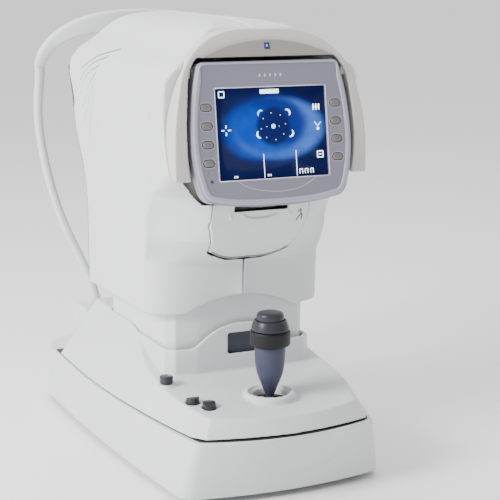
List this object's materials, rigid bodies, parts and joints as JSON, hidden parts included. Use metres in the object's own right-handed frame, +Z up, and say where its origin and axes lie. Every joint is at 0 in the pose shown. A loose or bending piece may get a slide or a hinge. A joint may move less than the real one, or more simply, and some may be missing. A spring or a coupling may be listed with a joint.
{
  "type": "autorefractor",
  "caption": "Table-top eye-measuring instrument: joystick stage, lifting head with tilting display and printer, face-rest arch with chin rest.",
  "frame": {"origin": "on the table surface, under the middle of the instrument", "axes": "+X to the operator's right, +Y from the operator to the patient, +Z up"},
  "size_m": [0.2592, 0.4953, 0.457],
  "materials": {
    "white_shell": "satin",
    "hood_shell": "satin",
    "inlay": "satin",
    "black_plate": "matt",
    "rubber": "matt",
    "steel": "brushed",
    "sheet_metal": "satin",
    "grey_panel": "satin",
    "bezel_grey": "satin",
    "key_grey": "matt",
    "screen": "gloss",
    "lens_glass": "gloss",
    "tinted_window": "gloss",
    "grip_grey": "satin",
    "ring_black": "matt",
    "button_grey": "satin",
    "board_green": "satin",
    "black_plastic": "satin",
    "paper": "matt",
    "pad_grey": "matt",
    "optics_black": "anodised"
  },
  "bodies": {
    "base": {"base_cover": "white_shell", "base_plate": "sheet_metal", "base_top_plate": "black_plate", "rubber_feet": "rubber", "case_screws": "steel", "y_rails": "steel", "power_supply": "sheet_metal", "connector_panel": "grey_panel", "mains_inlet": "black_plastic", "face_rest_block": "white_shell", "face_rest_frame": "white_shell", "forehead_arch": "white_shell", "forehead_pad": "pad_grey", "chin_motor": "sheet_metal"},
    "power_switch": {"power_switch": "black_plastic"},
    "chinrest": {"chinrest": "white_shell"},
    "carriage": {"carriage_frame": "sheet_metal"},
    "stage": {"stage_plate": "sheet_metal", "x_rods": "steel", "deck_cover": "white_shell", "reader_window": "tinted_window", "neck_shroud": "white_shell", "lift_rods": "steel", "lift_motor": "black_plastic", "joystick_base": "sheet_metal"},
    "lift_screw": {"lift_screw": "steel"},
    "joystick_gimbal": {"joystick_gimbal": "steel"},
    "joystick": {"joystick_stem": "grip_grey", "joystick_collar": "grip_grey"},
    "height_ring": {"height_ring": "ring_black"},
    "start_button": {"start_button": "grip_grey"},
    "chin_up_button": {"chin_up_button": "button_grey"},
    "chin_down_button": {"chin_down_button": "button_grey"},
    "lock_knob": {"lock_knob": "button_grey"},
    "head": {"head_chassis": "sheet_metal", "left_cover": "white_shell", "right_cover": "white_shell", "hood": "hood_shell", "hood_inlay": "inlay", "rear_panel": "grey_panel", "window_ring": "black_plastic", "window_glass": "lens_glass", "optical_barrel": "optics_black", "main_board": "board_green", "printer_body": "black_plastic"},
    "paper_roll": {"paper_roll": "paper"},
    "printer_cover": {"printer_cover": "white_shell"},
    "platen_roller": {"platen_roller": "rubber"},
    "display": {"bezel": "bezel_grey", "lcd_panel": "black_plastic", "screen_glass": "screen", "display_back": "grey_panel"},
    "left_key_1": {"left_key_1": "key_grey"},
    "left_key_2": {"left_key_2": "key_grey"},
    "left_key_3": {"left_key_3": "key_grey"},
    "left_key_4": {"left_key_4": "key_grey"},
    "right_key_1": {"right_key_1": "key_grey"},
    "right_key_2": {"right_key_2": "key_grey"},
    "right_key_3": {"right_key_3": "key_grey"},
    "right_key_4": {"right_key_4": "key_grey"}
  },
  "joints": [
    {"name": "power_switch_rock", "type": "hinge", "parent": "base", "child": "power_switch", "pos_m": [-0.013, 0.191, 0.033], "axis": [1, 0, 0], "range_deg": [-14, 0]},
    {"name": "chinrest_lift", "type": "slide", "parent": "base", "child": "chinrest", "axis": [0, 0, 1], "range_m": [-0.03, 0.03]},
    {"name": "carriage_slide", "type": "slide", "parent": "base", "child": "carriage", "axis": [0, 1, 0], "range_m": [-0.02, 0.02]},
    {"name": "stage_slide", "type": "slide", "parent": "carriage", "child": "stage", "axis": [1, 0, 0], "range_m": [-0.042, 0.042]},
    {"name": "head_lift", "type": "slide", "parent": "stage", "child": "head", "axis": [0, 0, 1], "range_m": [-0.015, 0.015]},
    {"name": "lift_screw_turn", "type": "hinge", "parent": "stage", "child": "lift_screw", "pos_m": [0, 0.03, 0.18], "axis": [0, 0, 1], "range_deg": [-1080, 1080]},
    {"name": "joystick_tilt_y", "type": "hinge", "parent": "stage", "child": "joystick_gimbal", "pos_m": [0, -0.186, 0.076], "axis": [1, 0, 0], "range_deg": [-12, 12], "stiffness_Nm_per_rad": 0.6},
    {"name": "joystick_tilt_x", "type": "hinge", "parent": "joystick_gimbal", "child": "joystick", "pos_m": [0, -0.186, 0.076], "axis": [0, 1, 0], "range_deg": [-12, 12], "stiffness_Nm_per_rad": 0.6},
    {"name": "height_ring_turn", "type": "hinge", "parent": "joystick", "child": "height_ring", "pos_m": [0, -0.186, 0.148], "axis": [0, 0, 1], "continuous": true},
    {"name": "start_button_push", "type": "slide", "parent": "joystick", "child": "start_button", "axis": [0, 0, -1], "range_m": [0, 0.002], "stiffness_N_per_m": 700},
    {"name": "chin_up_push", "type": "slide", "parent": "stage", "child": "chin_up_button", "axis": [0, 0, -1], "range_m": [0, 0.0012], "stiffness_N_per_m": 600},
    {"name": "chin_down_push", "type": "slide", "parent": "stage", "child": "chin_down_button", "axis": [0, 0, -1], "range_m": [0, 0.0012], "stiffness_N_per_m": 600},
    {"name": "lock_knob_turn", "type": "hinge", "parent": "stage", "child": "lock_knob", "pos_m": [-0.09, -0.133, 0.095], "axis": [0, 0, 1], "range_deg": [0, 90]},
    {"name": "display_tilt", "type": "hinge", "parent": "head", "child": "display", "pos_m": [0, -0.16082, 0.4086], "axis": [-1, 0, 0], "range_deg": [0, 12]},
    {"name": "left_key_1_push", "type": "slide", "parent": "display", "child": "left_key_1", "axis": [0, 0.9877, -0.1564], "range_m": [0, 0.0008], "stiffness_N_per_m": 500},
    {"name": "left_key_2_push", "type": "slide", "parent": "display", "child": "left_key_2", "axis": [0, 0.9877, -0.1564], "range_m": [0, 0.0008], "stiffness_N_per_m": 500},
    {"name": "left_key_3_push", "type": "slide", "parent": "display", "child": "left_key_3", "axis": [0, 0.9877, -0.1564], "range_m": [0, 0.0008], "stiffness_N_per_m": 500},
    {"name": "left_key_4_push", "type": "slide", "parent": "display", "child": "left_key_4", "axis": [0, 0.9877, -0.1564], "range_m": [0, 0.0008], "stiffness_N_per_m": 500},
    {"name": "right_key_1_push", "type": "slide", "parent": "display", "child": "right_key_1", "axis": [0, 0.9877, -0.1564], "range_m": [0, 0.0008], "stiffness_N_per_m": 500},
    {"name": "right_key_2_push", "type": "slide", "parent": "display", "child": "right_key_2", "axis": [0, 0.9877, -0.1564], "range_m": [0, 0.0008], "stiffness_N_per_m": 500},
    {"name": "right_key_3_push", "type": "slide", "parent": "display", "child": "right_key_3", "axis": [0, 0.9877, -0.1564], "range_m": [0, 0.0008], "stiffness_N_per_m": 500},
    {"name": "right_key_4_push", "type": "slide", "parent": "display", "child": "right_key_4", "axis": [0, 0.9877, -0.1564], "range_m": [0, 0.0008], "stiffness_N_per_m": 500},
    {"name": "printer_cover_swing", "type": "hinge", "parent": "head", "child": "printer_cover", "pos_m": [0, -0.1215, 0.219], "axis": [1, 0, 0], "range_deg": [0, 45]},
    {"name": "platen_turn", "type": "hinge", "parent": "printer_cover", "child": "platen_roller", "pos_m": [0, -0.152, 0.268], "axis": [1, 0, 0], "continuous": true},
    {"name": "paper_roll_turn", "type": "hinge", "parent": "head", "child": "paper_roll", "pos_m": [0, -0.122, 0.256], "axis": [1, 0, 0], "continuous": true}
  ],
  "couplings": [
    {"joint": "lift_screw_turn", "follows": "head_lift", "rad_per_m": 1256.6}
  ]
}
